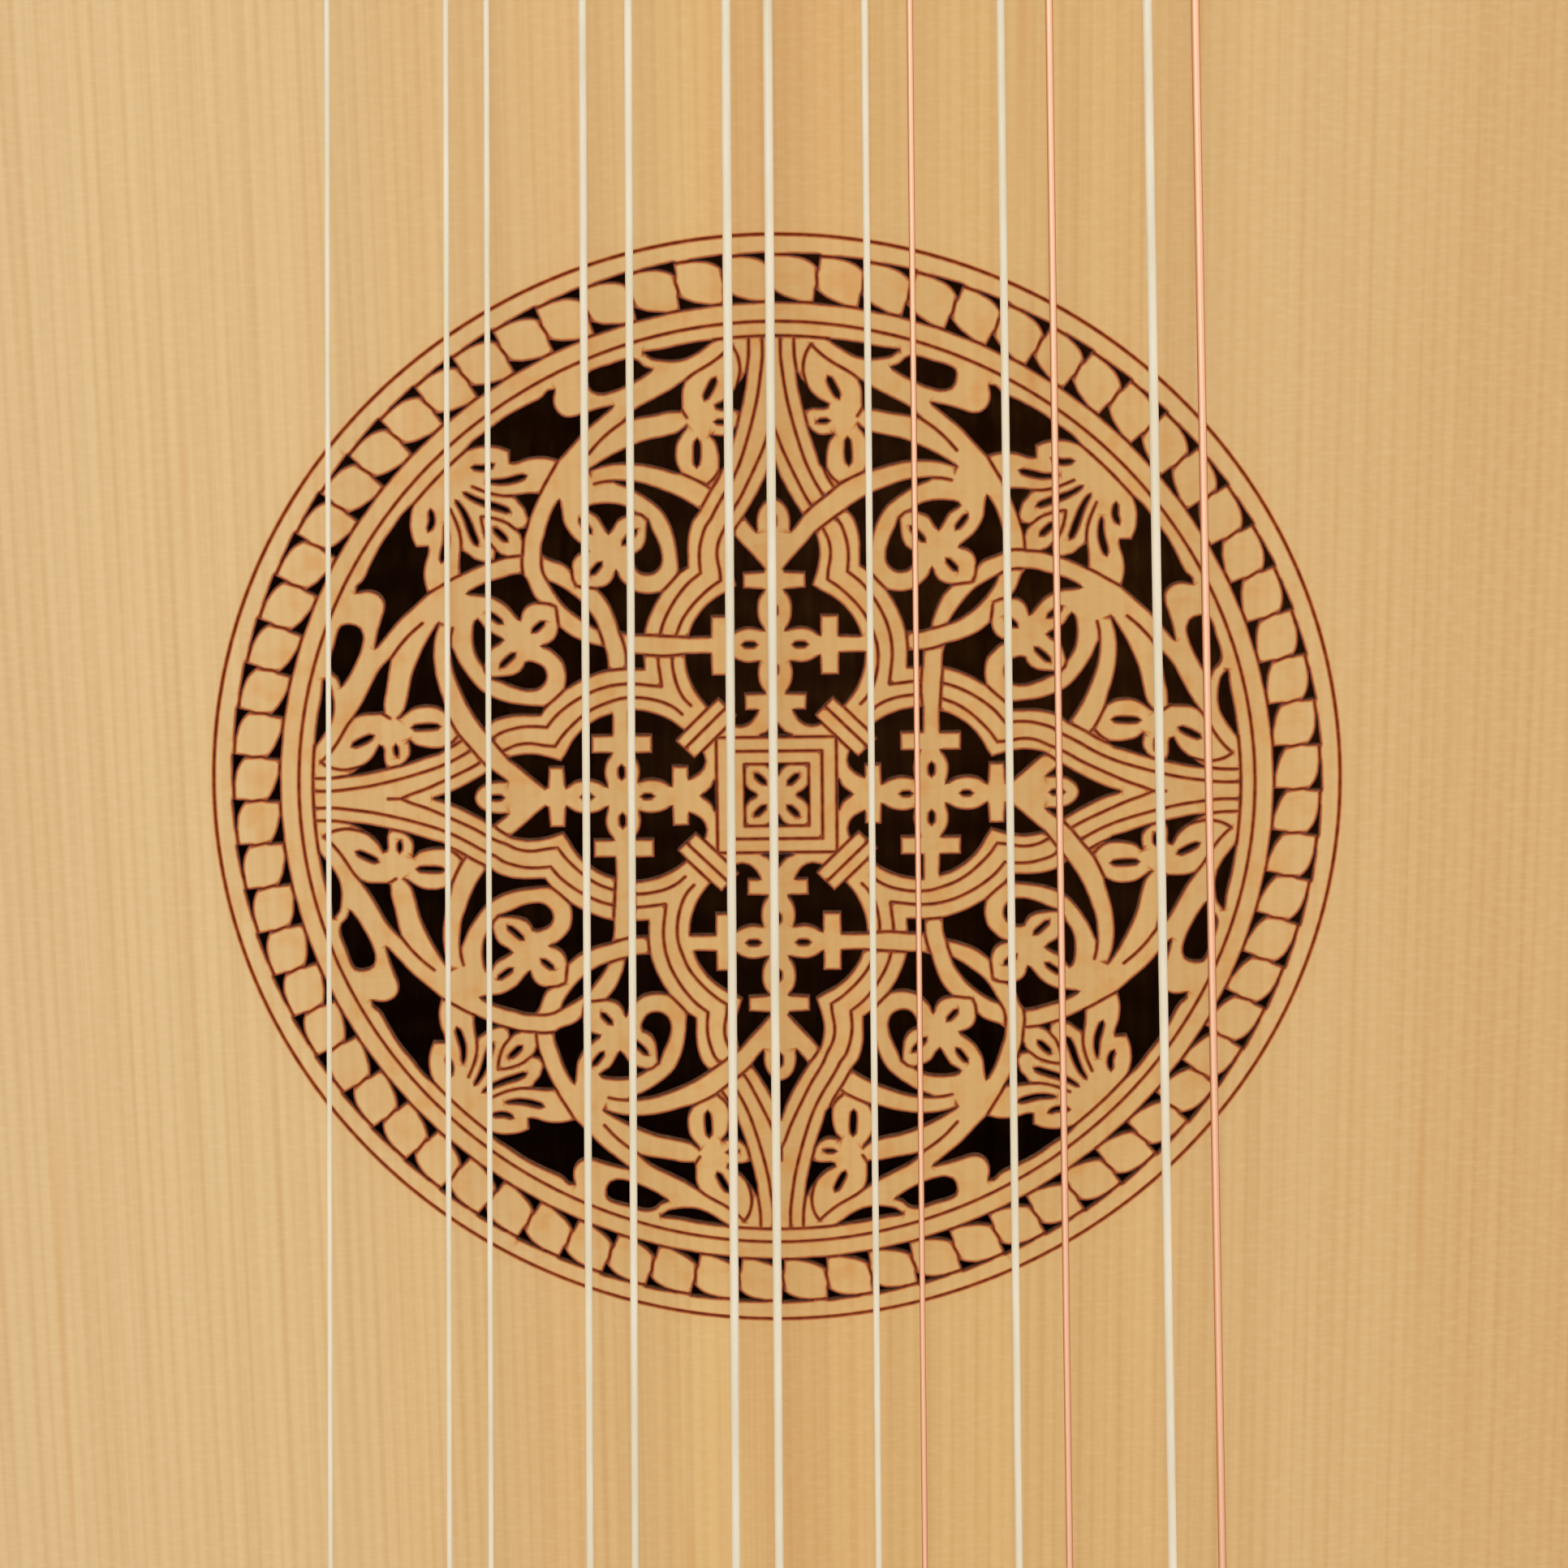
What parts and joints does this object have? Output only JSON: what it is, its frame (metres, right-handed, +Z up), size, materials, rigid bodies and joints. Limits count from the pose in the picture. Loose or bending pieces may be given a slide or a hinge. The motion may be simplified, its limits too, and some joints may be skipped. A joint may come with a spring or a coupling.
{
  "type": "lute",
  "caption": "Renaissance lute with a ribbed pear-shaped bowl, a carved openwork rose in a spruce soundboard, tied gut frets, paired strings and a bent-back pegbox with turned pegs.",
  "frame": {"origin": "centre of the strap button's flat end face, at the bottom of the bowl", "axes": "+Z up along the neck, -Y out of the soundboard, +X to the right of someone facing the soundboard"},
  "size_m": [0.3126, 0.2247, 0.7004],
  "materials": {
    "soundboard_spruce": "bare spruce, fine straight grain, satin",
    "inner_softwood": "bare softwood",
    "bowl_maple": "figured maple under clear brown varnish",
    "pegbox_maple": "varnished maple",
    "bridge_pear": "dark stained pear wood, satin",
    "neck_ebony": "polished ebony",
    "peg_plum": "turned plum wood, waxed",
    "nut_bone": "polished bone",
    "fret_gut": "twisted gut",
    "string_gut": "smooth pale gut",
    "string_copper": "fine copper winding over a core"
  },
  "bodies": {
    "body": {"soundboard": "soundboard_spruce", "end_clasp": "bowl_maple", "neck_block": "inner_softwood", "tail_block": "inner_softwood", "bridge": "bridge_pear", "neck": "neck_ebony", "fingerboard": "neck_ebony", "nut": "nut_bone", "pegbox_cheek_left": "pegbox_maple", "pegbox_cheek_right": "pegbox_maple", "pegbox_back": "pegbox_maple", "pegbox_end": "pegbox_maple", "strap_button": "neck_ebony", "rib_1": "bowl_maple", "rib_2": "bowl_maple", "rib_3": "bowl_maple", "rib_4": "bowl_maple", "rib_5": "bowl_maple", "rib_6": "bowl_maple", "rib_7": "bowl_maple", "rib_8": "bowl_maple", "rib_9": "bowl_maple", "bar_1": "inner_softwood", "bar_2": "inner_softwood", "bar_3": "inner_softwood", "bar_4": "inner_softwood", "string_01": "string_gut", "string_02": "string_gut", "string_03": "string_gut", "string_04": "string_gut", "string_05": "string_gut", "string_06": "string_gut", "string_07": "string_gut", "string_08": "string_gut", "string_09": "string_copper", "string_10": "string_gut", "string_11": "string_copper", "string_12": "string_gut", "string_13": "string_copper"},
    "peg_01_turning": {"peg_01": "peg_plum"},
    "peg_02_turning": {"peg_02": "peg_plum"},
    "peg_03_turning": {"peg_03": "peg_plum"},
    "peg_04_turning": {"peg_04": "peg_plum"},
    "peg_05_turning": {"peg_05": "peg_plum"},
    "peg_06_turning": {"peg_06": "peg_plum"},
    "peg_07_turning": {"peg_07": "peg_plum"},
    "peg_08_turning": {"peg_08": "peg_plum"},
    "peg_09_turning": {"peg_09": "peg_plum"},
    "peg_10_turning": {"peg_10": "peg_plum"},
    "peg_11_turning": {"peg_11": "peg_plum"},
    "peg_12_turning": {"peg_12": "peg_plum"},
    "peg_13_turning": {"peg_13": "peg_plum"},
    "fret_1_sliding": {"fret_1": "fret_gut"},
    "fret_2_sliding": {"fret_2": "fret_gut"},
    "fret_3_sliding": {"fret_3": "fret_gut"},
    "fret_4_sliding": {"fret_4": "fret_gut"},
    "fret_5_sliding": {"fret_5": "fret_gut"},
    "fret_6_sliding": {"fret_6": "fret_gut"},
    "fret_7_sliding": {"fret_7": "fret_gut"},
    "fret_8_sliding": {"fret_8": "fret_gut"}
  },
  "joints": [
    {"name": "peg_01_turn", "type": "hinge", "parent": "body", "child": "peg_01_turning", "pos_m": [0, 0.016, 0.67595], "axis": [-1, 0, 0], "continuous": true},
    {"name": "peg_02_turn", "type": "hinge", "parent": "body", "child": "peg_02_turning", "pos_m": [0, 0.02915, 0.6771], "axis": [1, 0, 0], "continuous": true},
    {"name": "peg_03_turn", "type": "hinge", "parent": "body", "child": "peg_03_turning", "pos_m": [0, 0.0423, 0.67825], "axis": [-1, 0, 0], "continuous": true},
    {"name": "peg_04_turn", "type": "hinge", "parent": "body", "child": "peg_04_turning", "pos_m": [0, 0.05545, 0.6794], "axis": [1, 0, 0], "continuous": true},
    {"name": "peg_05_turn", "type": "hinge", "parent": "body", "child": "peg_05_turning", "pos_m": [0, 0.0686, 0.68055], "axis": [-1, 0, 0], "continuous": true},
    {"name": "peg_06_turn", "type": "hinge", "parent": "body", "child": "peg_06_turning", "pos_m": [0, 0.08175, 0.6817], "axis": [1, 0, 0], "continuous": true},
    {"name": "peg_07_turn", "type": "hinge", "parent": "body", "child": "peg_07_turning", "pos_m": [0, 0.0949, 0.68285], "axis": [-1, 0, 0], "continuous": true},
    {"name": "peg_08_turn", "type": "hinge", "parent": "body", "child": "peg_08_turning", "pos_m": [0, 0.10805, 0.684], "axis": [1, 0, 0], "continuous": true},
    {"name": "peg_09_turn", "type": "hinge", "parent": "body", "child": "peg_09_turning", "pos_m": [0, 0.1212, 0.68515], "axis": [-1, 0, 0], "continuous": true},
    {"name": "peg_10_turn", "type": "hinge", "parent": "body", "child": "peg_10_turning", "pos_m": [0, 0.13435, 0.68631], "axis": [1, 0, 0], "continuous": true},
    {"name": "peg_11_turn", "type": "hinge", "parent": "body", "child": "peg_11_turning", "pos_m": [0, 0.1475, 0.68746], "axis": [-1, 0, 0], "continuous": true},
    {"name": "peg_12_turn", "type": "hinge", "parent": "body", "child": "peg_12_turning", "pos_m": [0, 0.16065, 0.68861], "axis": [1, 0, 0], "continuous": true},
    {"name": "peg_13_turn", "type": "hinge", "parent": "body", "child": "peg_13_turning", "pos_m": [0, 0.1738, 0.68976], "axis": [-1, 0, 0], "continuous": true},
    {"name": "fret_1_slide", "type": "slide", "parent": "body", "child": "fret_1_sliding", "axis": [0, 0, 1], "range_m": [-0.002, 0.002]},
    {"name": "fret_2_slide", "type": "slide", "parent": "body", "child": "fret_2_sliding", "axis": [0, 0, 1], "range_m": [-0.002, 0.002]},
    {"name": "fret_3_slide", "type": "slide", "parent": "body", "child": "fret_3_sliding", "axis": [0, 0, 1], "range_m": [-0.002, 0.002]},
    {"name": "fret_4_slide", "type": "slide", "parent": "body", "child": "fret_4_sliding", "axis": [0, 0, 1], "range_m": [-0.002, 0.002]},
    {"name": "fret_5_slide", "type": "slide", "parent": "body", "child": "fret_5_sliding", "axis": [0, 0, 1], "range_m": [-0.002, 0.002]},
    {"name": "fret_6_slide", "type": "slide", "parent": "body", "child": "fret_6_sliding", "axis": [0, 0, 1], "range_m": [-0.002, 0.002]},
    {"name": "fret_7_slide", "type": "slide", "parent": "body", "child": "fret_7_sliding", "axis": [0, 0, 1], "range_m": [-0.002, 0.002]},
    {"name": "fret_8_slide", "type": "slide", "parent": "body", "child": "fret_8_sliding", "axis": [0, 0, 1], "range_m": [-0.002, 0.002]}
  ]
}
